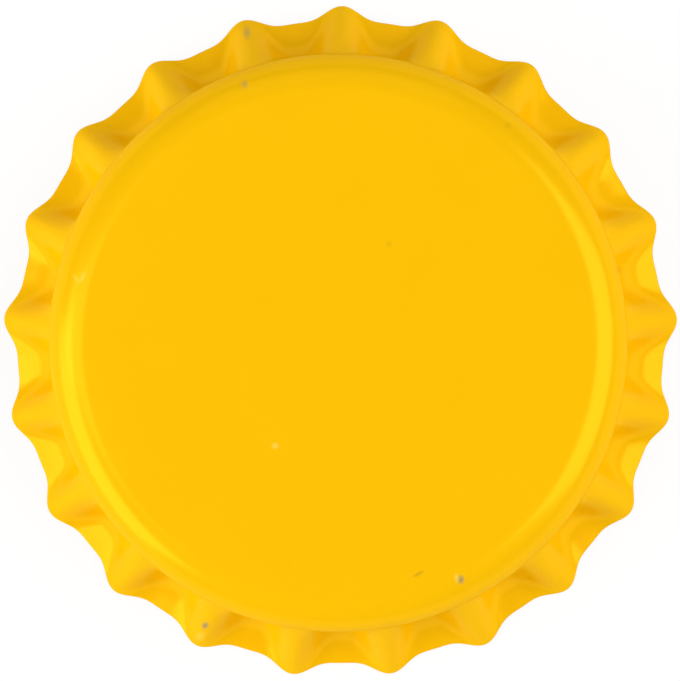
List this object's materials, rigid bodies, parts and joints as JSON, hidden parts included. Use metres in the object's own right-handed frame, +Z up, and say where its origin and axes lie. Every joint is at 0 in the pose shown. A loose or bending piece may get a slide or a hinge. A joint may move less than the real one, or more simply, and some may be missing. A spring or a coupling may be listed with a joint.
{
  "type": "bottle cap",
  "caption": "Round pressed-metal bottle cap with a flat panel, a rounded corner and a fluted, toothed skirt, and a moulded sealing liner inside.",
  "frame": {"origin": "on the cap's axis, in the plane that its toothed edge rests on", "axes": "+Z up along the axis, through the panel; +Y through the tip of one tooth; +X to the right of it, seen from above"},
  "size_m": [0.032, 0.032, 0.006],
  "materials": {
    "yellow_enamel": "gloss",
    "liner_compound": "satin"
  },
  "bodies": {
    "root": {"crown_shell": "yellow_enamel", "sealing_liner": "liner_compound"}
  },
  "joints": []
}
